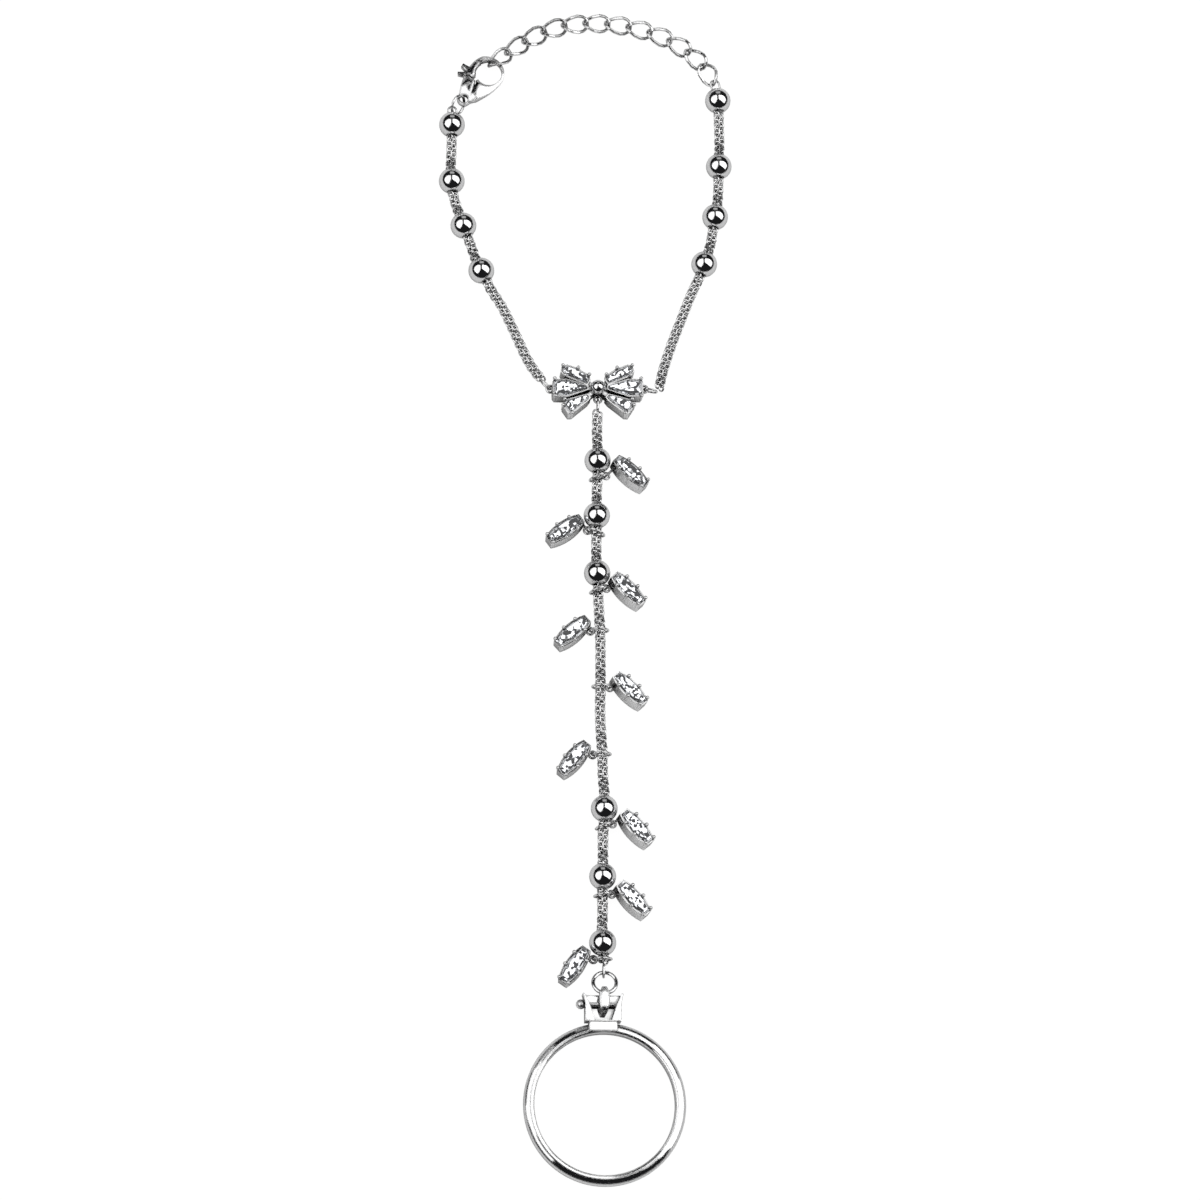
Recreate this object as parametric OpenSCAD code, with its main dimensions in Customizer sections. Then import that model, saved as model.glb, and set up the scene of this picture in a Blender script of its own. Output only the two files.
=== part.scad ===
// Hand chain bracelet, laid flat: a finger ring, a strand of leaf drops and beads that runs up the back
// of the hand to a bow, and two beaded chains that close round the wrist with a lobster clasp.

/* [Finger ring] */
// Inside diameter of the finger ring
ring_bore = 17.5; // [16.5:0.25:18.5]
// Wall of the finger ring
ring_wall = 1.35; // [1.2:0.05:1.5]
// Width of the finger ring along the finger
ring_width = 2.0; // [1.8:0.1:2.2]

/* [Beads] */
// Diameter of a bead
bead_d = 3.4; // [3.2:0.1:3.5]
// Hole through a bead
bead_bore = 1.5; // [1.44:0.02:1.6]

/* [Chain] */
// Outside diameter of the fine chain
chain_d = 1.2; // [1.1:0.02:1.22]
// Wire radius of the single links at the chain's ends
end_wire = 0.13; // [0.11:0.01:0.14]
// Wire radius of the extender's curb links
curb_wire = 0.225; // [0.2:0.005:0.235]

/* [Leaf drops] */
// Length of a leaf from its inner to its outer end
leaf_len = 5.3; // [5.1:0.05:5.4]
// Greatest width of a leaf
leaf_w = 2.3; // [2.2:0.05:2.4]
// Height of a leaf's wall
leaf_h = 1.9; // [1.8:0.05:1.95]
// Thickness of the walls that hold the stones
wall = 0.17; // [0.15:0.01:0.2]

/* [Bow] */
// Height of the bow's walls
bow_h = 2.4; // [2.2:0.1:2.5]
// Diameter of the ball in the middle of the bow
bow_ball_d = 1.9; // [1.8:0.05:2.0]

/* [Clasp] */
// Greatest thickness of the domed lobster clasp
clasp_t = 1.8; // [1.7:0.05:1.85]

/* [Hidden] */
$fn = 48;
bright = [0.78, 0.79, 0.8];
grey = [0.68, 0.69, 0.71];
clear = [0.9, 0.94, 0.98];

// The layout is drawn about the strand and moved so that the middle of its outline is the origin.
layout = [0.2, -0.6, 0];

// Columns of the bead tables.
BX = 0;
BY = 1;
HEADING = 2;
bead_z = bead_d / 2;
left_beads = [
    [-17.95, 61.8, 90],
    [-17.9, 53.85, 95],
    [-16.3, 47.65, 110],
    [-13.9, 41.45, 116]
];
right_beads = [
    [17.4, 66.4, 93],
    [17.45, 57.0, 88],
    [16.9, 49.85, 80],
    [15.4, 43.2, 72]
];
strand_beads = [
    [1.35, 15.8, 270],
    [1.25, 8.4, 270],
    [1.3, 0.7, 273],
    [2.2, -30.1, 269],
    [2.0, -38.8, 269],
    [2.0, -47.2, 273]
];

// Where a chain runs straight through a bead: from just before one mouth to just past the other.
bead_reach = 1.6;
function through(b) = [for (s = [-1, 1])
    [b[BX] + s * bead_reach * cos(b[HEADING]), b[BY] + s * bead_reach * sin(b[HEADING]), bead_z]];

left_route = concat(
    [[-6.1, 27.0, 1.1], [-7.4, 29.0, 0.8], [-8.7, 31.7, 0.65], [-9.9, 34.4, 0.65], [-11.2, 37.0, 0.8]],
    [[-12.4, 38.7, 1.2]],
    through(left_beads[3]),
    [[-15.1, 44.55, 1.2]],
    through(left_beads[2]),
    [[-17.3, 50.75, 1.2]],
    through(left_beads[1]),
    [[-18.0, 57.0, 1.0], [-17.95, 59.0, 1.3]],
    [[-17.95, 60.2, bead_z], [-17.95, 62.35, bead_z]]
);
right_route = concat(
    [[9.5, 26.3, 1.0], [9.9, 28.2, 0.75], [10.6, 30.6, 0.65], [11.4, 33.0, 0.65], [12.3, 35.4, 0.65]],
    [[13.2, 37.8, 0.8], [14.2, 40.2, 1.2]],
    through(right_beads[3]),
    [[16.4, 46.55, 1.2]],
    through(right_beads[2]),
    [[17.4, 53.4, 1.1]],
    through(right_beads[1]),
    [[17.65, 60.4, 0.9], [17.6, 62.9, 1.1]],
    [[17.48, 64.8, bead_z], [17.35, 67.25, bead_z]]
);
strand_route = concat(
    [[1.4, 22.35, 1.0], [1.35, 20.3, 0.8], [1.35, 18.4, 1.2]],
    through(strand_beads[0]),
    [[1.35, 13.1, 1.2], [1.3, 11.5, 1.0]],
    through(strand_beads[1]),
    [[1.25, 5.7, 1.2], [1.25, 3.9, 1.0]],
    through(strand_beads[2]),
    [[1.45, -2.0, 1.2], [1.6, -4.4, 1.0], [1.7, -6.8, 1.4], [1.8, -9.2, 0.8], [1.8, -11.8, 0.9]],
    [[1.75, -14.2, 1.4], [1.75, -17.0, 0.7], [1.85, -20.0, 0.8], [2.0, -23.0, 1.4], [2.1, -25.8, 0.9]],
    through(strand_beads[3]),
    [[2.1, -32.8, 1.2], [2.1, -35.0, 0.9]],
    through(strand_beads[4]),
    [[2.0, -41.5, 1.2], [2.05, -43.6, 0.9]],
    through(strand_beads[5]),
    [[2.1, -49.4, 1.4]]
);

// Single links at the chains' ends: a racetrack with this bend and this half-length of straight.
link_bend = 0.55;
link_straight = 0.3;
link_reach = link_bend + link_straight;

// Leaf drops: side of the strand, downward slope, tip, point on the strand and turn of the jump ring.
SIDE = 0;
SLOPE = 1;
TIP = 2;
CHAIN = 3;
TURN = 4;
leaves = [
    [1, -43, [7.35, 12.25], [1.35, 13.6], 20],
    [-1, -36, [-4.95, 4.8], [1.25, 6.2], 20],
    [1, -46, [6.9, -3.55], [1.4, -1.5], 20],
    [-1, -42, [-3.8, -9.0], [1.7, -6.8], 0],
    [1, -46, [7.1, -16.7], [1.75, -14.2], 0],
    [-1, -50, [-3.3, -25.8], [2.0, -23.0], 0],
    [1, -49, [7.8, -34.7], [2.15, -32.3], 20],
    [1, -48, [7.4, -43.75], [2.0, -41.1], 10],
    [-1, -55, [-3.0, -52.35], [2.1, -49.2], 0]
];
leaf_mid = leaf_len / 2;
leaf_end_half = 0.62;
leaf_rise = leaf_w / 2 - leaf_end_half;
leaf_r = (leaf_mid * leaf_mid + leaf_rise * leaf_rise) / (2 * leaf_rise);
leaf_floor = 0.02;
leaf_roll_right = 13;
leaf_roll_left = 4;
leaf_ledge = 0.18;
eye_r = 0.44;
eye_wire = 0.16;
eye_z = 0.8;
jump_r = 1.2;
jump_wire = 0.14;
jump_z = 1.36;
jump_offset = 0.15;
jump_out = jump_offset + sqrt(jump_r * jump_r - pow(jump_z - eye_z, 2));
stone_gap = wall + 0.04;

// Bow: side of a petal, its outline, middle, turn, and which of the outline's corners carry a prong.
OUTLINE = 1;
MIDDLE = 2;
PETAL_TURN = 3;
PRONGS = 4;
side_petal = [[-2.3, -0.3], [0.5, -1.3], [2.15, -1.25], [2.4, -0.9], [2.4, 0.8], [2.15, 1.15], [0.5, 1.2], [-2.3, 0.3]];
top_petal = [[-2.0, -0.6], [1.2, -0.85], [1.95, -0.5], [2.05, 0.3], [1.6, 0.75], [0.1, 0.95], [-1.6, 0.75], [-2.05, 0.2]];
low_petal = [[-2.0, -0.3], [-1.4, -0.55], [1.3, -0.95], [1.75, -0.7], [1.8, 0.6], [1.15, 1.2], [-1.9, 0.35]];
bow_at = [1.35, 25.54, 0];
bow_turn = 1.5;
petals = [
    [1, side_petal, [3.5, 0], 0, [2, 5]],
    [1, top_petal, [2.85, 1.75], 27, [1, 3, 5, 6]],
    [-1, top_petal, [2.85, 1.75], 27, [1, 3, 5, 6]],
    [-1, side_petal, [3.5, 0], 0, [2, 5]],
    [-1, low_petal, [2.8, -2.1], -31, [2, 4, 5]],
    [1, low_petal, [2.8, -2.1], -31, [2, 4, 5]]
];
bow_eyes = [[-6.12, 0.21], [6.12, 0.21], [0.05, -1.19]];
bow_eye_r = 0.46;
bow_eye_z = 1.0;

// Clasp: tail eye at the origin, head towards +Y, middle of its thickness at z 0.
clasp_at = [-16.39, 65.73, 1.0];
clasp_turn = -38;
head_r = 2.4;
head_y = 4.75;
tail_r = 0.9;
tail_hole_r = 0.55;
hook_r = 1.7;
hook_at = [0.25, 5.0];
dome_r = 14;
dome_y = 3.2;
barrel_r = 3.8;
bevel_r = 2.5;
bevel_z = 2.1;
pivot = [-1.0, 2.1];
pivot_pin_r = 0.3;
pivot_bore_r = 0.36;
arm_reach = 3.45;

// Extender: heading, height, roll and pitch of each curb link, from the clasp round to the right chain.
E_HEADING = 0;
E_Z = 1;
E_ROLL = 2;
E_PITCH = 3;
curb_start = [-11.71, 71.73];
curb_pitch = 2.9;
curb_long = 1.725;
curb_half = 1.125;
curb_blunt = 2.4;
curb_twist = 45;
curb_links = [
    [39, 1.0, -25, 0],
    [37, 0.84, -10, 0],
    [31, 0.78, 0, 0],
    [21, 0.78, 0, 0],
    [8, 0.78, 0, 0],
    [1, 0.78, 0, 0],
    [-7, 0.78, 0, 0],
    [-13, 0.78, 0, 0],
    [-22, 0.78, 0, 0],
    [-32, 0.78, 0, 0],
    [-46, 0.96, 2, 6],
    [-64, 1.35, 20, 13]
];

function unit(v) = v / norm(v);
function arc(c, r, from, to, n) = [for (i = [0:n])
    let (a = from + (to - from) * i / n) [c[0] + r * cos(a), c[1] + r * sin(a)]];

// A round bar bent through a list of points, each ring of its sides turned to face along the path.
function along(path, i, closed) = let (n = len(path))
    closed ? unit(path[(i + 1) % n] - path[(i + n - 1) % n])
           : unit(path[min(i + 1, n - 1)] - path[max(i - 1, 0)]);
function hoops(path, r, sides, closed, aside) = [for (i = [0:len(path) - 1])
    let (
        t = along(path, i, closed),
        s = unit(cross(aside, t)),
        u = cross(t, s)
    )
    for (k = [0:sides - 1])
        let (a = 360 * (k + 0.5) / sides) path[i] + r * (cos(a) * s + sin(a) * u)];
function skin(rings, sides, closed) = [for (i = [0:rings - (closed ? 1 : 2)], k = [0:sides - 1])
    let (
        j = (i + 1) % rings,
        m = (k + 1) % sides
    )
    each [[i * sides + k, i * sides + m, j * sides + m], [i * sides + k, j * sides + m, j * sides + k]]];

function turned(faces) = [for (f = faces) [for (k = [len(f) - 1:-1:0]) f[k]]];

module bent_bar(path, r, sides, closed = false, aside = [0, 0, 1]) {
    n = len(path);
    caps = closed ? [] : [
        [for (k = [0:sides - 1]) sides - 1 - k],
        [for (k = [0:sides - 1]) (n - 1) * sides + k]
    ];
    polyhedron(
        points = hoops(path, r, sides, closed, aside),
        faces = turned(concat(skin(n, sides, closed), caps))
    );
}

module torus(mean_r, wire_r) {
    rotate_extrude()
        translate([mean_r, 0])
            circle(r = wire_r, $fn = 24);
}

module end_link(at, heading, standing) {
    straight_ends = concat(
        arc([link_straight, 0], link_bend, -90, 90, 6),
        arc([-link_straight, 0], link_bend, 90, 270, 6)
    );
    loop = [for (p = straight_ends) standing ? [p[0], 0, p[1]] : [p[0], p[1], 0]];
    translate(at)
        rotate([0, 0, heading])
            bent_bar(loop, end_wire, 6, true, standing ? [0, 1, 0] : [0, 0, 1]);
}

module bead(b) {
    color(bright)
        translate(layout + [b[BX], b[BY], bead_z])
            rotate([90, 0, b[HEADING] + 90])
                difference() {
                    sphere(d = bead_d, $fn = 96);
                    cylinder(d = bead_bore, h = bead_d + 1, center = true, $fn = 96);
                }
}

function bow_point(p) = [
    bow_at[0] + p[0] * cos(bow_turn) - p[1] * sin(bow_turn),
    bow_at[1] + p[0] * sin(bow_turn) + p[1] * cos(bow_turn)
];
function out_from(p, heading, d) = [p[0] + d * cos(heading), p[1] + d * sin(heading)];

module left_chain() {
    from_bow = out_from(bow_point(bow_eyes[0]), 136, link_reach);
    color(grey)
        translate(layout) {
            bent_bar(left_route, chain_d / 2, 8);
            end_link([from_bow[0], from_bow[1], bow_eye_z], 136, true);
            end_link([-17.95, 63.5, bead_z], 90, false);
        }
}

module right_chain() {
    from_bow = out_from(bow_point(bow_eyes[1]), -11, link_reach);
    color(grey)
        translate(layout) {
            bent_bar(right_route, chain_d / 2, 8);
            end_link([from_bow[0], from_bow[1], bow_eye_z], -11, true);
            end_link([17.09, 68.46, bead_z], 106, false);
        }
}

module strand_chain() {
    from_bow = out_from(bow_point(bow_eyes[2]), 270, link_reach);
    color(grey)
        translate(layout) {
            bent_bar(strand_route, chain_d / 2, 8);
            end_link([from_bow[0], from_bow[1], bow_eye_z], 270, true);
            end_link([2.2, -50.55, 0.7], 270, true);
        }
}

// A cut stone: its outline drawn in towards the centre, ring by ring, from the keel to the table.
module gem(outline, centre, rings) {
    n = len(outline);
    polyhedron(
        points = [for (g = rings, p = outline)
            [centre[0] + g[0] * (p[0] - centre[0]), centre[1] + g[1] * (p[1] - centre[1]), g[2]]],
        faces = concat(
            turned(skin(len(rings), n, false)),
            [[for (k = [0:n - 1]) k], [for (k = [0:n - 1]) len(rings) * n - 1 - k]]
        )
    );
}

// Half the leaf's width at a distance along it, drawn in by a margin all round.
function leaf_half(u, margin) = leaf_w / 2 - leaf_r
    + sqrt(max(0, pow(leaf_r - margin, 2) - pow(u - leaf_mid, 2)));
function leaf_outline(margin, steps) = let (
        us = [for (i = [0:steps]) margin + (leaf_len - 2 * margin) * i / steps]
    )
    concat(
        [for (u = us) [u, -leaf_half(u, margin)]],
        [for (i = [steps:-1:0]) [us[i], leaf_half(us[i], margin)]]
    );

// An outline with every side moved inwards by a margin.
function left_of(v) = [-v[1], v[0]];
function inset(outline, margin) = let (n = len(outline)) [for (i = [0:n - 1])
    let (
        a = left_of(unit(outline[i] - outline[(i + n - 1) % n])),
        b = left_of(unit(outline[(i + 1) % n] - outline[i]))
    )
    outline[i] + margin * (a + b) / (1 + a * b)];

// The jump ring's way through the eye, then the same point along, across and above the leaf's own axis.
function leaf_eye(l) = let (a = l[TURN] * l[SIDE])
    [l[CHAIN][0] + l[SIDE] * jump_out * cos(a), l[CHAIN][1] + l[SIDE] * jump_out * sin(a), eye_z];
function leaf_roll(l) = l[SIDE] > 0 ? leaf_roll_right : leaf_roll_left;
function eye_in_leaf(l) = let (
        d = [l[SIDE] * (leaf_eye(l)[0] - l[TIP][0]), leaf_eye(l)[1] - l[TIP][1]],
        u = leaf_len + d[0] * cos(l[SLOPE]) + d[1] * sin(l[SLOPE]),
        v = d[1] * cos(l[SLOPE]) - d[0] * sin(l[SLOPE]),
        r = leaf_roll(l)
    )
    [u, v, (eye_z - leaf_floor - (leaf_w / 2 - v) * sin(r)) / cos(r)];

module leaf_frame(l) {
    translate(layout + leaf_eye(l))
        mirror([l[SIDE] > 0 ? 0 : 1, 0, 0])
            rotate([0, 0, l[SLOPE]])
                rotate([-leaf_roll(l), 0, 0])
                    translate(-eye_in_leaf(l))
                        children();
}

module prong(at, r, ball_r, from, to) {
    translate([at[0], at[1], from])
        cylinder(r = r, h = to - from, $fn = 24);
    translate([at[0], at[1], to])
        sphere(r = ball_r, $fn = 24);
}

module leaf_setting(l) {
    prong_u = [1.35, 3.2, leaf_len - 0.3];
    prong_top = leaf_h + 0.32;
    eye = eye_in_leaf(l);
    color(bright)
        leaf_frame(l) {
            difference() {
                linear_extrude(leaf_h)
                    polygon(leaf_outline(0, 8));
                translate([0, 0, 0.4])
                    linear_extrude(leaf_h)
                        polygon(leaf_outline(wall, 8));
                translate([0, 0, -1])
                    linear_extrude(leaf_h + 1)
                        polygon(leaf_outline(wall + leaf_ledge, 8));
            }
            for (u = prong_u, s = [-1, 1])
                prong([u, s * leaf_half(u, 0.06)], 0.14, 0.25, 0.8, prong_top);
            translate(eye)
                torus(eye_r, eye_wire);
            translate([eye[0] - 0.15, eye[1] + eye_r, eye[2] - 0.12])
                cube([0.3, max(0.1, -eye[1] - eye_r - leaf_half(eye[0], wall / 2)), 0.24]);
        }
}

module leaf_stone(l) {
    color(clear)
        leaf_frame(l)
            gem(leaf_outline(stone_gap, 4), [leaf_mid, 0], [
                [0.6, 0.12, 0.5],
                [0.82, 0.62, leaf_h - 0.5],
                [1, 1, leaf_h - 0.04],
                [1, 1, leaf_h + 0.06],
                [0.91, 0.84, leaf_h + 0.3],
                [0.8, 0.62, leaf_h + 0.48]
            ]);
}

module leaf_ring(l) {
    a = l[TURN] * l[SIDE];
    color(bright)
        translate(layout + [l[CHAIN][0], l[CHAIN][1], jump_z])
            rotate([0, 0, a])
                translate([l[SIDE] * jump_offset, 0, 0])
                    rotate([90, 0, 0])
                        torus(jump_r, jump_wire);
}

module bow_frame() {
    translate(layout + bow_at)
        rotate([0, 0, bow_turn])
            children();
}

module petal_frame(p) {
    mirror([p[SIDE] > 0 ? 0 : 1, 0, 0])
        translate([p[MIDDLE][0], p[MIDDLE][1], 0])
            rotate([0, 0, p[PETAL_TURN]])
                children();
}

// A petal's solid arm to the middle of the bow.
module petal_root(p) {
    reach = norm(p[MIDDLE]) + min([for (q = p[OUTLINE]) q[0]]) + wall / 2;
    mirror([p[SIDE] > 0 ? 0 : 1, 0, 0])
        rotate([0, 0, atan2(p[MIDDLE][1], p[MIDDLE][0])])
            linear_extrude(bow_h - 0.4)
                polygon([[0, -0.25], [reach, -0.25], [reach, 0.25], [0, 0.25]]);
}

module bow_setting() {
    ledge = wall + 0.14;
    color(bright)
        bow_frame() {
            difference() {
                for (p = petals)
                    petal_frame(p)
                        linear_extrude(bow_h)
                            polygon(p[OUTLINE]);
                for (p = petals)
                    petal_frame(p) {
                        translate([0, 0, 0.8])
                            linear_extrude(bow_h)
                                polygon(inset(p[OUTLINE], wall));
                        translate([0, 0, -1])
                            linear_extrude(bow_h + 1)
                                polygon(inset(p[OUTLINE], ledge));
                    }
            }
            for (p = petals) {
                petal_root(p);
                petal_frame(p)
                    for (corner = p[PRONGS])
                        prong(inset(p[OUTLINE], 0.03)[corner], 0.14, 0.25, 0.8, bow_h + 0.38);
            }
            cylinder(r = 0.75, h = bow_h);
            translate([0, 0, bow_h + 0.1])
                sphere(d = bow_ball_d);
            for (e = bow_eyes)
                translate([e[0], e[1], bow_eye_z])
                    torus(bow_eye_r, eye_wire);
        }
}

module bow_stone(p) {
    color(clear)
        bow_frame()
            petal_frame(p)
                gem(inset(p[OUTLINE], stone_gap), [0, 0], [
                    [0.72, 0.12, 1.2],
                    [0.86, 0.62, 1.8],
                    [1, 1, bow_h + 0.02],
                    [1, 1, bow_h + 0.12],
                    [0.93, 0.82, bow_h + 0.36],
                    [0.84, 0.58, bow_h + 0.5]
                ]);
}

// Closed loop that hangs on the bracket's bar: a racetrack on edge, thinned towards both ends.
module bail_link() {
    bail_y = [-56.2, -52.65];
    bail_z = [0.42, 2.5];
    bail_wall = 0.4;
    out_r = (bail_z[1] - bail_z[0]) / 2;
    mid_y = (bail_y[0] + bail_y[1]) / 2;
    half_straight = (bail_y[1] - bail_y[0]) / 2 - out_r;
    color(bright)
        translate(layout + [2.2, mid_y, (bail_z[0] + bail_z[1]) / 2])
            intersection() {
                rotate([90, 0, 90])
                    linear_extrude(1.3, center = true)
                        difference() {
                            polygon(concat(
                                arc([half_straight, 0], out_r, -90, 90, 16),
                                arc([-half_straight, 0], out_r, 90, 270, 16)
                            ));
                            polygon(concat(
                                arc([half_straight, 0], out_r - bail_wall, -90, 90, 16),
                                arc([-half_straight, 0], out_r - bail_wall, 90, 270, 16)
                            ));
                        }
                translate([-3.55, 0, -2])
                    cylinder(r = 4.2, h = 4);
                translate([3.55, 0, -2])
                    cylinder(r = 4.2, h = 4);
            }
}

module strand_ring() {
    color(bright)
        translate(layout + [2.3, -52.14, 1.15])
            rotate([-20, 0, 0])
                torus(1.45, 0.24);
}

// The ring's band in section: flat inside and out with rounded corners.
module band_section() {
    inner = ring_bore / 2;
    outer = inner + ring_wall;
    corner_in = 0.35;
    corner_out = 0.85;
    polygon(concat(
        arc([inner + corner_in, ring_width - corner_in], corner_in, 180, 90, 4),
        arc([outer - corner_out, ring_width - corner_out], corner_out, 90, 0, 5),
        arc([outer - corner_out, corner_out], corner_out, 0, -90, 5),
        arc([inner + corner_in, corner_in], corner_in, -90, -180, 4)
    ));
}

module finger_ring() {
    base_y = -57.1;
    mid_x = 2.05;
    ring_y = -57.2 - ring_bore / 2 - ring_wall;
    bracket_h = 2.3;
    bar_y = -54.9;
    bar_z = 1.25;
    outside = [[-2.25, 0], [2.25, 0], [2.25, 2.2], [2.55, 3.5]];
    notch = [[2.3, 3.5], [1.7, 2.1], [1.05, 0.15], [-1.05, 0.15], [-1.7, 2.1], [-2.3, 3.5]];
    color(bright)
        translate(layout) {
            translate([2.3, ring_y, 0])
                rotate_extrude($fn = 96)
                    band_section();
            translate([mid_x - 1.75, base_y - 1.2, 0])
                cube([3.5, 1.3, 2.2]);
            translate([mid_x, base_y, 0]) {
                linear_extrude(bracket_h)
                    polygon(concat(outside, notch, [[-2.55, 3.5], [-2.25, 2.2]]));
                linear_extrude(0.3)
                    polygon(concat(outside, [[-2.55, 3.5], [-2.25, 2.2]]));
            }
            translate([mid_x - 2.8, bar_y, bar_z])
                rotate([0, 90, 0])
                    cylinder(r = 0.275, h = 4.8, $fn = 24);
            translate([mid_x - 2.75, bar_y, bar_z])
                sphere(r = 0.62);
        }
}

module clasp_frame() {
    translate(layout + clasp_at)
        rotate([0, 0, clasp_turn])
            children();
}

function clasp_half(y) = tail_r + (head_r - tail_r) * sin(90 * y / head_y);

module clasp_outline() {
    steps = 8;
    polygon(concat(
        [for (i = [0:steps - 1]) [clasp_half(head_y * i / steps), head_y * i / steps]],
        arc([0, head_y], head_r, 0, 180, 24),
        [for (i = [steps - 1:-1:0]) [-clasp_half(head_y * i / steps), head_y * i / steps]],
        arc([0, 0], tail_r, 190, 350, 10)
    ));
}

// Room inside both faces: domed a little along the clasp and well rounded across it.
module clasp_dome() {
    intersection_for (s = [-1, 1])
        intersection() {
            translate([0, dome_y, s * (dome_r - clasp_t / 2)])
                sphere(r = dome_r, $fn = 96);
            translate([0, 0, s * (barrel_r - clasp_t / 2)])
                rotate([-90, 0, 0])
                    cylinder(r = barrel_r, h = 30, center = true, $fn = 96);
        }
}

// Domed body with the hook's hole, the gate's gap, the slot for the lever's root and its pivot pin.
module clasp_body() {
    thick = clasp_t + 1;
    color(bright)
        clasp_frame() {
            difference() {
                intersection() {
                    translate([0, 0, -thick / 2])
                        linear_extrude(thick)
                            clasp_outline();
                    clasp_dome();
                }
                translate([hook_at[0], hook_at[1], -thick / 2])
                    cylinder(r = hook_r, h = thick);
                for (s = [-1, 1])
                    translate([hook_at[0], hook_at[1], s * bevel_z])
                        sphere(r = bevel_r);
                translate([0, 0, -thick / 2])
                    cylinder(r = tail_hole_r, h = thick);
                intersection() {
                    translate([pivot[0], pivot[1], -thick / 2])
                        cylinder(r = arm_reach + 0.1, h = thick);
                    translate([-4.3, 2.8, -thick / 2])
                        cube([4, 4, thick]);
                }
                translate([-3, 1.1, -0.36])
                    cube([3.4, 1.8, 0.72]);
                translate([0, 0, 0.3])
                    linear_extrude(thick)
                        polygon([[0.4, 0.95], [0.35, 2.9], [-0.35, 2.9], [0.1, 1.7]]);
                for (s = [-1, 1])
                    translate([0, -0.1, s * 1.9])
                        rotate([0, 90, 0])
                            cylinder(r = 1.62, h = 4, center = true);
            }
            translate([pivot[0], pivot[1], -0.6])
                cylinder(r = pivot_pin_r, h = 1.2, $fn = 32);
        }
}

// Sprung gate: root round the pin, neck, arm that closes the hook and two thumb tabs outside.
module clasp_lever() {
    leaf_t = 0.56;
    arm_t = 1.1;
    color(bright)
        clasp_frame()
            difference() {
                union() {
                    translate([pivot[0], pivot[1], -leaf_t / 2])
                        cylinder(r = 0.72, h = leaf_t);
                    translate([0, 0, -leaf_t / 2])
                        linear_extrude(leaf_t)
                            polygon([[-1.7, 2.2], [-0.95, 2.6], [-0.95, 3.3], [-2.0, 3.3]]);
                    translate([0, 0, -leaf_t / 2])
                        linear_extrude(leaf_t) {
                            polygon([[-1.8, 3.1], [-3.15, 3.35], [-3.25, 3.9], [-2.0, 4.1]]);
                            polygon([[-1.6, 2.7], [-2.75, 2.15], [-3.05, 2.5], [-1.8, 3.5]]);
                        }
                    intersection() {
                        difference() {
                            translate([0, 0, -arm_t / 2])
                                linear_extrude(arm_t)
                                    clasp_outline();
                            translate([hook_at[0], hook_at[1], -arm_t])
                                cylinder(r = hook_r + 0.06, h = 2 * arm_t);
                        }
                        clasp_dome();
                        translate([pivot[0], pivot[1], -arm_t])
                            cylinder(r = arm_reach, h = 2 * arm_t);
                        translate([-3.9, 3.0, -arm_t])
                            cube([3.0, 3.0, 2 * arm_t]);
                    }
                }
                translate([pivot[0], pivot[1], -1])
                    cylinder(r = pivot_bore_r, h = 2, $fn = 32);
            }
}

// Ring that joins the clasp's tail to the last link of the left chain.
module clasp_ring() {
    from = [-17.95, 63.82, bead_z];
    to = clasp_at;
    span = to - from;
    reach = norm(span);
    color(bright)
        translate(layout + (from + to) / 2)
            rotate([0, -asin(span[2] / reach), atan2(span[1], span[0])])
                rotate([62, 0, 0])
                    torus(reach / 2, 0.18);
}

// Middle of each curb link: half a pitch along its own heading and half along the one before.
function curb_at(i) = i == 0 ? curb_start
    : let (
        p = curb_at(i - 1),
        a = curb_links[i - 1][E_HEADING],
        b = curb_links[i][E_HEADING]
    )
    p + curb_pitch / 2 * [cos(a) + cos(b), sin(a) + sin(b)];

// One turn of a curb link: a blunt ellipse, twisted along its length.
function signed_pow(v, e) = sign(v) * pow(abs(v), e);
function curb_loop(roll) = [for (k = [0:15])
    let (
        a = 360 * (k + 0.5) / 16,
        x = curb_long * signed_pow(cos(a), 2 / curb_blunt),
        y = curb_half * signed_pow(sin(a), 2 / curb_blunt),
        f = roll + curb_twist * x / curb_long
    )
    [x, y * cos(f), y * sin(f)]];

module extender_chain() {
    color(bright)
        translate(layout)
            for (i = [0:len(curb_links) - 1]) {
                link = curb_links[i];
                translate([curb_at(i)[0], curb_at(i)[1], link[E_Z]])
                    rotate([0, -link[E_PITCH], link[E_HEADING]])
                        curb_link(link[E_ROLL]);
            }
}

module curb_link(roll) {
    loop = curb_loop(roll);
    n = len(loop);
    sides = 6;
    rings = [for (i = [0:n - 1])
        let (
            t = along(loop, i, true),
            s = unit(cross(t, cross(loop[i], t))),
            u = cross(t, s)
        )
        for (k = [0:sides - 1])
            let (a = 360 * (k + 0.5) / sides) loop[i] + curb_wire * (cos(a) * s + sin(a) * u)];
    polyhedron(points = rings, faces = turned(skin(n, sides, true)));
}

finger_ring();
bail_link();
strand_ring();
strand_chain();
left_chain();
right_chain();
for (i = [1:4]) bead(left_beads[i - 1]);
for (i = [1:4]) bead(right_beads[i - 1]);
for (i = [1:6]) bead(strand_beads[i - 1]);
for (i = [1:9]) leaf_setting(leaves[i - 1]);
for (i = [1:9]) leaf_stone(leaves[i - 1]);
for (i = [1:9]) leaf_ring(leaves[i - 1]);
bow_setting();
for (i = [1:6]) bow_stone(petals[i - 1]);
clasp_body();
clasp_lever();
clasp_ring();
extender_chain();
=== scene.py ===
import math
import random

import bpy
import numpy as np
from mathutils import Matrix, Vector


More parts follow.
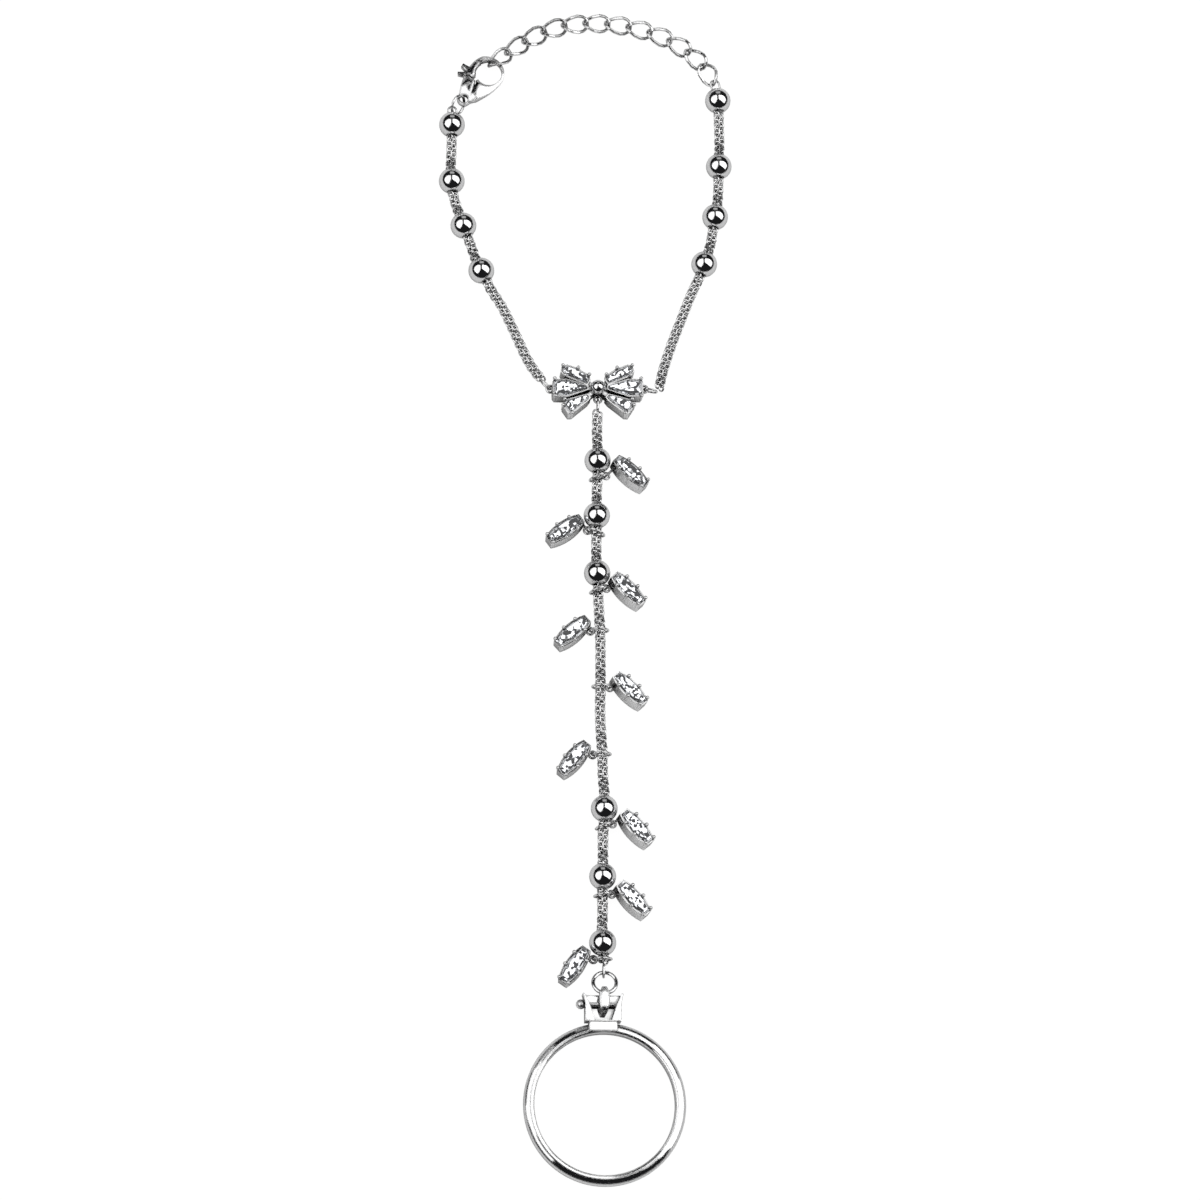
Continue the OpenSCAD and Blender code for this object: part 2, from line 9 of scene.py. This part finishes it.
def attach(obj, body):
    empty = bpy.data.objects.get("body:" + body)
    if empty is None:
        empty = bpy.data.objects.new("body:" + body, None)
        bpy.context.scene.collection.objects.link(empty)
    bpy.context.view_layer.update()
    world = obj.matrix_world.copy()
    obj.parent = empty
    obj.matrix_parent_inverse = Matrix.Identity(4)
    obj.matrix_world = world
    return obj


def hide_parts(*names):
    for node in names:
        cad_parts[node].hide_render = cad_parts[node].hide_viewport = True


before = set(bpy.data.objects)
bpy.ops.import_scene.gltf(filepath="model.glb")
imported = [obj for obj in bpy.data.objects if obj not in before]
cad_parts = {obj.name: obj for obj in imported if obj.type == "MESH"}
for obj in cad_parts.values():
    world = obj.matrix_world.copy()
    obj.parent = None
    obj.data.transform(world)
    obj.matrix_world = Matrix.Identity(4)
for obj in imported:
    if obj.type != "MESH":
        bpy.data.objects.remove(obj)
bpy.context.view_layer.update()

BODY = "bracelet"
MM = 0.001
LAYOUT = np.array([0.2, -0.6, 0.0])
scene = bpy.context.scene

# Camera
CAMERA_AT = Vector((-0.0348, -0.1295, 0.460))
CAMERA_TO = Vector((0.0020, -0.0030, 0.0))
CAMERA_LENS = 111.8


def make_camera():
    data = bpy.data.cameras.new("camera")
    data.lens = CAMERA_LENS
    data.sensor_width = 36.0
    data.clip_start = 0.01
    data.clip_end = 50.0
    cam = bpy.data.objects.new("camera", data)
    scene.collection.objects.link(cam)
    forward = (CAMERA_TO - CAMERA_AT).normalized()
    right = forward.cross(Vector((0, 1, 0))).normalized()
    up = right.cross(forward)
    turn = Matrix((right, up, -forward)).transposed()
    cam.matrix_world = Matrix.Translation(CAMERA_AT) @ turn.to_4x4()
    scene.camera = cam


# Materials
CLOUD_SCALE = 900.0
POLISH_SCALE = 4200.0
POLISH_DEPTH = 0.00002
FACET_SCALE = 2700.0
FACET_TILT = 0.42
SHARP_EDGE = 0.00022


def new_material(name):
    mat = bpy.data.materials.new(name)
    mat.use_nodes = True
    return mat, mat.node_tree.nodes, mat.node_tree.links, mat.node_tree.nodes["Principled BSDF"]


def noise(nodes, links, coords, scale, detail=4.0):
    tex = nodes.new("ShaderNodeTexNoise")
    tex.inputs["Scale"].default_value = scale
    tex.inputs["Detail"].default_value = detail
    links.new(coords.outputs["Object"], tex.inputs["Vector"])
    return tex


def span(nodes, links, source, low, high):
    ramp = nodes.new("ShaderNodeMapRange")
    ramp.inputs["To Min"].default_value = low
    ramp.inputs["To Max"].default_value = high
    links.new(source, ramp.inputs["Value"])
    return ramp.outputs["Result"]


def tint(nodes, links, source, dark, light):
    ramp = nodes.new("ShaderNodeValToRGB")
    ramp.color_ramp.elements[0].color = (*dark, 1)
    ramp.color_ramp.elements[1].color = (*light, 1)
    links.new(source, ramp.inputs["Fac"])
    return ramp.outputs["Color"]


def painted_crevice_shade(nodes, links, colour, shade_reach, shade_depth):
    """Painted shade: darkens a colour where surfaces close in on each other."""
    hollow = nodes.new("ShaderNodeAmbientOcclusion")
    hollow.samples = 8
    hollow.inputs["Distance"].default_value = shade_reach
    power = nodes.new("ShaderNodeMath")
    power.operation = "POWER"
    power.inputs[1].default_value = shade_depth
    shade = nodes.new("ShaderNodeVectorMath")
    shade.operation = "SCALE"
    links.new(hollow.outputs["AO"], power.inputs[0])
    links.new(colour, shade.inputs[0])
    links.new(power.outputs["Value"], shade.inputs["Scale"])
    return shade.outputs["Vector"]


def metal(name, dark, light, rough, bump, shade_reach=0.0, shade_depth=1.0, round_edge=SHARP_EDGE):
    """Polished metal with faint clouds, shaded edges and, where the shade reach is above zero, painted shade
    where surfaces close in.
    """
    mat, nodes, links, bsdf = new_material(name)
    coords = nodes.new("ShaderNodeTexCoord")
    cloud = noise(nodes, links, coords, CLOUD_SCALE)
    polish = noise(nodes, links, coords, POLISH_SCALE, 2.0)
    bsdf.inputs["Metallic"].default_value = 1.0
    colour = tint(nodes, links, cloud.outputs["Fac"], dark, light)
    # Painted shade: ambient occlusion darkens the base colour where surfaces close in and between parts.
    if shade_reach > 0:
        colour = painted_crevice_shade(nodes, links, colour, shade_reach, shade_depth)
    links.new(colour, bsdf.inputs["Base Color"])
    links.new(span(nodes, links, polish.outputs["Fac"], *rough), bsdf.inputs["Roughness"])
    bumps = nodes.new("ShaderNodeBump")
    bumps.inputs["Strength"].default_value = bump
    bumps.inputs["Distance"].default_value = POLISH_DEPTH
    edge = nodes.new("ShaderNodeBevel")
    edge.samples = 4
    edge.inputs["Radius"].default_value = round_edge
    links.new(edge.outputs["Normal"], bumps.inputs["Normal"])
    links.new(polish.outputs["Fac"], bumps.inputs["Height"])
    links.new(bumps.outputs["Normal"], bsdf.inputs["Normal"])
    return mat


def stone(name):
    """Stand-in for a clear cut stone: small mirror patches that each throw the light another way."""
    mat, nodes, links, bsdf = new_material(name)
    coords = nodes.new("ShaderNodeTexCoord")
    facets = nodes.new("ShaderNodeTexVoronoi")
    facets.inputs["Scale"].default_value = FACET_SCALE
    links.new(coords.outputs["Object"], facets.inputs["Vector"])
    centred = nodes.new("ShaderNodeVectorMath")
    centred.operation = "SUBTRACT"
    centred.inputs[1].default_value = (0.5, 0.5, 0.5)
    links.new(facets.outputs["Color"], centred.inputs[0])
    tilt = nodes.new("ShaderNodeVectorMath")
    tilt.operation = "SCALE"
    tilt.inputs["Scale"].default_value = FACET_TILT
    links.new(centred.outputs["Vector"], tilt.inputs[0])
    surface = nodes.new("ShaderNodeNewGeometry")
    turned = nodes.new("ShaderNodeVectorMath")
    turned.operation = "ADD"
    links.new(surface.outputs["Normal"], turned.inputs[0])
    links.new(tilt.outputs["Vector"], turned.inputs[1])
    even = nodes.new("ShaderNodeVectorMath")
    even.operation = "NORMALIZE"
    links.new(turned.outputs["Vector"], even.inputs[0])
    links.new(even.outputs["Vector"], bsdf.inputs["Normal"])
    bsdf.inputs["Metallic"].default_value = 0.85
    bsdf.inputs["IOR"].default_value = 1.8
    # Painted light and shade: each facet patch is painted lighter in its middle and darker towards its rim.
    colour = tint(nodes, links, facets.outputs["Distance"], (0.97, 0.98, 1), (0.86, 0.88, 0.91))
    links.new(colour, bsdf.inputs["Base Color"])
    links.new(span(nodes, links, facets.outputs["Distance"], 0.02, 0.08), bsdf.inputs["Roughness"])
    return mat


SILVER = ((0.84, 0.84, 0.845), (0.9, 0.9, 0.9))
# Every metal but the bead's gets painted shade where surfaces close in, strongest on the chain.
POLISHED = metal("polished_rhodium", *SILVER, (0.03, 0.07), 0.05, 0.001, 1.2)
SOFT = metal("clasp_rhodium", *SILVER, (0.05, 0.1), 0.05, 0.0012, 1.5, 0.0006)
ROUND = metal("rounded_rhodium", *SILVER, (0.05, 0.1), 0.05, 0.001, 1.2, 0.0007)
BAND = metal("band_rhodium", *SILVER, (0.03, 0.07), 0.05, 0.001, 1.2, 0.0004)
BEAD = metal("bead_rhodium", (0.82, 0.82, 0.825), (0.88, 0.88, 0.88), (0.015, 0.04), 0.02)
CHAIN_SILVER = ((0.78, 0.78, 0.785), (0.88, 0.88, 0.88))
CHAIN = metal("chain_rhodium", *CHAIN_SILVER, (0.04, 0.09), 0.08, 0.0005, 2.2, 0.0001)
STONE = stone("clear_stone_facets")
OWN_METAL = {"clasp_body": SOFT, "clasp_lever": SOFT, "bail_link": ROUND, "finger_ring": BAND}


def dress(obj, mat):
    obj.data.materials.clear()
    obj.data.materials.append(mat)


# Mesh helpers
def mesh_object(name, points, faces, mat):
    data = bpy.data.meshes.new(name)
    data.from_pydata([tuple(p) for p in points], [], faces)
    data.validate()
    data.update()
    data.shade_smooth()
    obj = bpy.data.objects.new(name, data)
    scene.collection.objects.link(obj)
    obj.data.materials.append(mat)
    return obj


def wire_loop(path, aside, radius, sides):
    """Points and quads of a closed wire along path; aside is roughly square to the path."""
    path = np.asarray(path, float)
    n = len(path)
    along = np.roll(path, -1, 0) - np.roll(path, 1, 0)
    along /= np.linalg.norm(along, axis=1)[:, None]
    side = np.cross(np.broadcast_to(aside, along.shape), along)
    side /= np.linalg.norm(side, axis=1)[:, None]
    up = np.cross(along, side)
    a = 2 * np.pi * (np.arange(sides) + 0.5) / sides
    cos, sin = np.cos(a)[None, :, None], np.sin(a)[None, :, None]
    ring = path[:, None, :] + radius * (cos * side[:, None, :] + sin * up[:, None, :])
    faces = []
    for i in range(n):
        j = (i + 1) % n
        for k in range(sides):
            m = (k + 1) % sides
            faces.append((i * sides + k, i * sides + m, j * sides + m, j * sides + k))
    return ring.reshape(-1, 3), faces


class Pile:
    """Collects loose solids for one mesh."""

    def __init__(self):
        self.points = []
        self.faces = []
        self.count = 0

    def add(self, points, faces):
        self.points.append(points)
        self.faces += [tuple(v + self.count for v in f) for f in faces]
        self.count += len(points)

    def make(self, name, mat):
        return mesh_object(name, np.concatenate(self.points) * MM, self.faces, mat)


PATH_STEP = 0.02
SPAN_SAMPLES = 60


def knots(a, b, c, d):
    """Where a centripetal curve passes four points in turn."""
    steps = [max(1e-6, np.linalg.norm(q - p)) ** 0.5 for p, q in ((a, b), (b, c), (c, d))]
    return np.cumsum([0.0] + steps)


def smooth_path(points):
    """Even steps along a curve through the points, and the curve's length, in mm."""
    p = np.array(points, float)
    p = np.vstack([2 * p[0] - p[1], p, 2 * p[-1] - p[-2]])
    out = []
    for i in range(1, len(p) - 2):
        t0, t1, t2, t3 = knots(p[i - 1], p[i], p[i + 1], p[i + 2])
        t = np.linspace(t1, t2, SPAN_SAMPLES, endpoint=False)[:, None]
        a1 = (t1 - t) / (t1 - t0) * p[i - 1] + (t - t0) / (t1 - t0) * p[i]
        a2 = (t2 - t) / (t2 - t1) * p[i] + (t - t1) / (t2 - t1) * p[i + 1]
        a3 = (t3 - t) / (t3 - t2) * p[i + 1] + (t - t2) / (t3 - t2) * p[i + 2]
        b1 = (t2 - t) / (t2 - t0) * a1 + (t - t0) / (t2 - t0) * a2
        b2 = (t3 - t) / (t3 - t1) * a2 + (t - t1) / (t3 - t1) * a3
        out.append((t2 - t) / (t2 - t1) * b1 + (t - t1) / (t2 - t1) * b2)
    out = np.vstack(out + [p[-2][None]])
    run = np.concatenate([[0.0], np.cumsum(np.linalg.norm(np.diff(out, axis=0), axis=1))])
    s = np.arange(0, run[-1] + 1e-9, PATH_STEP)
    return np.stack([np.interp(s, run, out[:, k]) for k in range(3)], 1), run[-1]


# Fine chain, in the millimetres of the layout
BEAD_Z = 1.7
BEAD_REACH = 1.6
LEFT_BEADS = [(-17.95, 61.8, 90), (-17.9, 53.85, 95), (-16.3, 47.65, 110), (-13.9, 41.45, 116)]
RIGHT_BEADS = [(17.4, 66.4, 93), (17.45, 57.0, 88), (16.9, 49.85, 80), (15.4, 43.2, 72)]
STRAND_BEADS = [
    (1.35, 15.8, 270), (1.25, 8.4, 270), (1.3, 0.7, 273),
    (2.2, -30.1, 269), (2.0, -38.8, 269), (2.0, -47.2, 273),
]


def through(bead):
    """Where a chain runs straight through a bead: just before one mouth and just past the other."""
    x, y, heading = bead
    c, s = math.cos(math.radians(heading)), math.sin(math.radians(heading))
    return [(x + k * BEAD_REACH * c, y + k * BEAD_REACH * s, BEAD_Z) for k in (-1, 1)]


LEFT_ROUTE = [
    (-6.1, 27.0, 1.1), (-7.4, 29.0, 0.8), (-8.7, 31.7, 0.65), (-9.9, 34.4, 0.65), (-11.2, 37.0, 0.8),
    (-12.4, 38.7, 1.2), *through(LEFT_BEADS[3]), (-15.1, 44.55, 1.2), *through(LEFT_BEADS[2]),
    (-17.3, 50.75, 1.2), *through(LEFT_BEADS[1]), (-18.0, 57.0, 1.0), (-17.95, 59.0, 1.3),
    (-17.95, 60.2, 1.7), (-17.95, 62.35, 1.7),
]
RIGHT_ROUTE = [
    (9.5, 26.3, 1.0), (9.9, 28.2, 0.75), (10.6, 30.6, 0.65), (11.4, 33.0, 0.65), (12.3, 35.4, 0.65),
    (13.2, 37.8, 0.8), (14.2, 40.2, 1.2), *through(RIGHT_BEADS[3]), (16.4, 46.55, 1.2),
    *through(RIGHT_BEADS[2]), (17.4, 53.4, 1.1), *through(RIGHT_BEADS[1]), (17.65, 60.4, 0.9),
    (17.6, 62.9, 1.1), (17.48, 64.8, 1.7), (17.35, 67.25, 1.7),
]
STRAND_ROUTE = [
    (1.4, 22.35, 1.0), (1.35, 20.3, 0.8), (1.35, 18.4, 1.2), *through(STRAND_BEADS[0]), (1.35, 13.1, 1.2),
    (1.3, 11.5, 1.0), *through(STRAND_BEADS[1]), (1.25, 5.7, 1.2), (1.25, 3.9, 1.0), *through(STRAND_BEADS[2]),
    (1.45, -2.0, 1.2), (1.6, -4.4, 1.0), (1.7, -6.8, 1.4), (1.8, -9.2, 0.8), (1.8, -11.8, 0.9),
    (1.75, -14.2, 1.4), (1.75, -17.0, 0.7), (1.85, -20.0, 0.8), (2.0, -23.0, 1.4), (2.1, -25.8, 0.9),
    *through(STRAND_BEADS[3]), (2.1, -32.8, 1.2), (2.1, -35.0, 0.9), *through(STRAND_BEADS[4]),
    (2.0, -41.5, 1.2), (2.05, -43.6, 0.9), *through(STRAND_BEADS[5]), (2.1, -49.4, 1.4),
]
BOW_AT = np.array([1.35, 25.54])
BOW_TURN = math.radians(1.5)


def bow_point(x, y):
    c, s = math.cos(BOW_TURN), math.sin(BOW_TURN)
    return BOW_AT + np.array([x * c - y * s, x * s + y * c])


LINK_WIRE = 0.12
LINK_LONG = 0.43
LINK_WIDE = 0.34
LINK_PITCH = 0.6
LINK_ASIDE = 0.27
LINK_STEPS = 20
LINK_SIDES = 8
LINK_LEAN = (28, 152)
LEAN_SPREAD = 6
ROW_SHIFT = 0.25
BEAD_HIDES = 0.9
LOOK_STEPS = 6
END_BEND = 0.55
END_STRAIGHT = 0.3
END_WIRE = 0.13
END_BEND_STEPS = 13
END_SIDES = 10
BOW_EYE_Z = 1.0


def fine_link(centre, along, lean):
    """An oval link that lies along the chain and leans from flat by this angle."""
    aside = np.cross([0, 0, 1.0], along)
    aside /= np.linalg.norm(aside)
    up = np.cross(along, aside)
    across = math.cos(lean) * aside + math.sin(lean) * up
    a = 2 * np.pi * np.arange(LINK_STEPS) / LINK_STEPS
    path = centre + LINK_LONG * np.cos(a)[:, None] * along + LINK_WIDE * np.sin(a)[:, None] * across
    return wire_loop(path, np.cross(along, across), LINK_WIRE, LINK_SIDES)


def end_link(at, heading, standing):
    """The single link at a chain's end: a racetrack on its edge or lying flat."""
    right = np.radians(np.linspace(-90, 90, END_BEND_STEPS))
    left = np.radians(np.linspace(90, 270, END_BEND_STEPS))
    u = np.concatenate([END_STRAIGHT + END_BEND * np.cos(right), -END_STRAIGHT + END_BEND * np.cos(left)])
    v = END_BEND * np.concatenate([np.sin(right), np.sin(left)])
    zero = np.zeros(len(u))
    path = np.stack([u, zero, v] if standing else [u, v, zero], 1)
    c, s = math.cos(math.radians(heading)), math.sin(math.radians(heading))
    turn = np.array([[c, -s, 0], [s, c, 0], [0, 0, 1]])
    aside = turn @ (np.array([0, 1.0, 0]) if standing else np.array([0, 0, 1.0]))
    return wire_loop(path @ turn.T + np.array(at), aside, END_WIRE, END_SIDES)


def fine_chain(name, route, beads, ends, seed):
    """Two rows of leaning links along a route, hidden inside the beads, and the single links at the ends."""
    rng = random.Random(seed)
    path, length = smooth_path(route)
    count = max(2, round(length / LINK_PITCH))
    pile = Pile()
    for i in range(count + 1):
        k = min(len(path) - 2, max(1, round(i * length / count / PATH_STEP)))
        centre = path[k]
        along = path[min(len(path) - 1, k + LOOK_STEPS)] - path[max(0, k - LOOK_STEPS)]
        along /= np.linalg.norm(along)
        if any(np.hypot(centre[0] - b[0], centre[1] - b[1]) < BEAD_HIDES for b in beads):
            continue
        aside = np.cross([0, 0, 1.0], along)
        aside *= LINK_ASIDE / np.linalg.norm(aside)
        for side in (-1, 1):
            lean = math.radians(LINK_LEAN[i % 2] + rng.uniform(-LEAN_SPREAD, LEAN_SPREAD))
            shift = side * (aside + ROW_SHIFT * LINK_PITCH * along)
            pile.add(*fine_link(centre + shift + LAYOUT, along, lean))
    for at, heading, standing in ends:
        pile.add(*end_link(np.array(at) + LAYOUT, heading, standing))
    obj = pile.make(name + "_links", CHAIN)
    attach(obj, BODY)
    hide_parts(name)


def bow_end(x, y, heading):
    """Place, heading and stance of the end link that hangs in one of the bow's eyes."""
    a = math.radians(heading)
    p = bow_point(x, y) + (END_BEND + END_STRAIGHT) * np.array([math.cos(a), math.sin(a)])
    return (p[0], p[1], BOW_EYE_Z), heading, True


# Floor and light
def glow(name, strength):
    mat = bpy.data.materials.new(name)
    mat.use_nodes = True
    nodes, links = mat.node_tree.nodes, mat.node_tree.links
    nodes.clear()
    out = nodes.new("ShaderNodeOutputMaterial")
    light = nodes.new("ShaderNodeEmission")
    light.inputs["Strength"].default_value = strength
    links.new(light.outputs["Emission"], out.inputs["Surface"])
    return mat


def camera_mix(nodes, links, seen, rest, share):
    """Blends in another shader for what the camera sees directly."""
    rays = nodes.new("ShaderNodeLightPath")
    part = nodes.new("ShaderNodeMath")
    part.operation = "MULTIPLY"
    part.inputs[1].default_value = share
    mix = nodes.new("ShaderNodeMixShader")
    links.new(rays.outputs["Is Camera Ray"], part.inputs[0])
    links.new(part.outputs["Value"], mix.inputs["Fac"])
    links.new(rest, mix.inputs[1])
    links.new(seen, mix.inputs[2])
    return mix.outputs["Shader"]


FLOOR_REACH = 5.0
FLOOR_Z = -0.00003


def make_floor():
    data = bpy.data.meshes.new("floor")
    corners = [(x * FLOOR_REACH, y * FLOOR_REACH, FLOOR_Z) for x, y in ((-1, -1), (1, -1), (1, 1), (-1, 1))]
    data.from_pydata(corners, [], [(0, 1, 2, 3)])
    floor = bpy.data.objects.new("floor", data)
    scene.collection.objects.link(floor)
    mat, nodes, links, bsdf = new_material("pale_floor")
    bsdf.inputs["Base Color"].default_value = (0.92, 0.92, 0.92, 1)
    bsdf.inputs["Roughness"].default_value = 0.9
    bsdf.inputs["Specular IOR Level"].default_value = 0.0
    light = nodes.new("ShaderNodeEmission")
    light.inputs["Strength"].default_value = 1.1
    shader = camera_mix(nodes, links, light.outputs["Emission"], bsdf.outputs["BSDF"], 0.88)
    links.new(shader, nodes["Material Output"].inputs["Surface"])
    dress(floor, mat)


# Glints as they stand on a bead seen from above, in fractions of its radius, and the plane of the
# panel that makes each: a point p lies in it where p . plane is 1.
LEFT_PLANE = Vector((-0.64, -0.099, 0.7595))
LEFT_GLINT = [
    (-0.098, 0.282), (-0.098, 0.0), (-0.177, -0.212), (-0.318, -0.353),
    (-0.495, -0.212), (-0.572, 0.0), (-0.493, 0.179), (-0.321, 0.281),
]
RIGHT_PLANE = Vector((0.5706, -0.0274, 0.822))
RIGHT_GLINT = [
    (0.028, 0.283), (0.028, 0.0), (0.106, -0.057), (0.494, -0.249),
    (0.573, 0.0), (0.495, 0.178), (0.319, 0.282),
]
FAR_PLANE = Vector((0.0, 0.711, 0.237))
FAR_GLINT = [(-0.121, 0.415), (0.121, 0.415), (0.146, 0.583), (-0.146, 0.583)]


def mirrored(across, up, plane):
    """Where the ray that a bead mirrors at this point of its face meets a panel's plane."""
    out = math.sqrt(1 - across * across - up * up)
    ray = Vector((2 * out * across, 2 * out * up, 2 * out * out - 1))
    return ray / ray.dot(plane)


def softbox(name, glint, plane, strength):
    """A flat lit panel that shows on the beads as this glint."""
    corners = [mirrored(across, up, plane) for across, up in glint]
    data = bpy.data.meshes.new(name)
    data.from_pydata(corners, [], [tuple(range(len(corners)))])
    panel = bpy.data.objects.new(name, data)
    scene.collection.objects.link(panel)
    dress(panel, glow(name, strength))


def make_light():
    softbox("softbox_left", LEFT_GLINT, LEFT_PLANE, 1.45)
    softbox("softbox_right", RIGHT_GLINT, RIGHT_PLANE, 1.85)
    softbox("reflector_far", FAR_GLINT, FAR_PLANE, 0.45)
    world = bpy.data.worlds.new("studio")
    world.use_nodes = True
    nodes, links = world.node_tree.nodes, world.node_tree.links
    dark = nodes["Background"]
    dark.inputs["Color"].default_value = (0.012, 0.012, 0.013, 1)
    pale = nodes.new("ShaderNodeBackground")
    pale.inputs["Color"].default_value = (0.9, 0.9, 0.9, 1)
    shader = camera_mix(nodes, links, pale.outputs["Background"], dark.outputs["Background"], 1.0)
    links.new(shader, nodes["World Output"].inputs["Surface"])
    scene.world = world


make_camera()
make_floor()
make_light()
scene.view_settings.view_transform = "Standard"
scene.view_settings.look = "None"
scene.cycles.caustics_reflective = False

for name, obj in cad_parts.items():
    if "stone" in name:
        dress(obj, STONE)
    elif "_bead_" in name:
        dress(obj, BEAD)
    else:
        dress(obj, OWN_METAL.get(name, POLISHED))

LEFT_ENDS = [bow_end(-6.12, 0.21, 136), ((-17.95, 63.5, BEAD_Z), 90, False)]
RIGHT_ENDS = [bow_end(6.12, 0.21, -11), ((17.09, 68.46, BEAD_Z), 106, False)]
STRAND_ENDS = [bow_end(0.05, -1.19, 270), ((2.2, -50.55, 0.7), 270, True)]
fine_chain("left_chain", LEFT_ROUTE, LEFT_BEADS, LEFT_ENDS, 1)
fine_chain("right_chain", RIGHT_ROUTE, RIGHT_BEADS, RIGHT_ENDS, 2)
fine_chain("strand_chain", STRAND_ROUTE, STRAND_BEADS, STRAND_ENDS, 3)
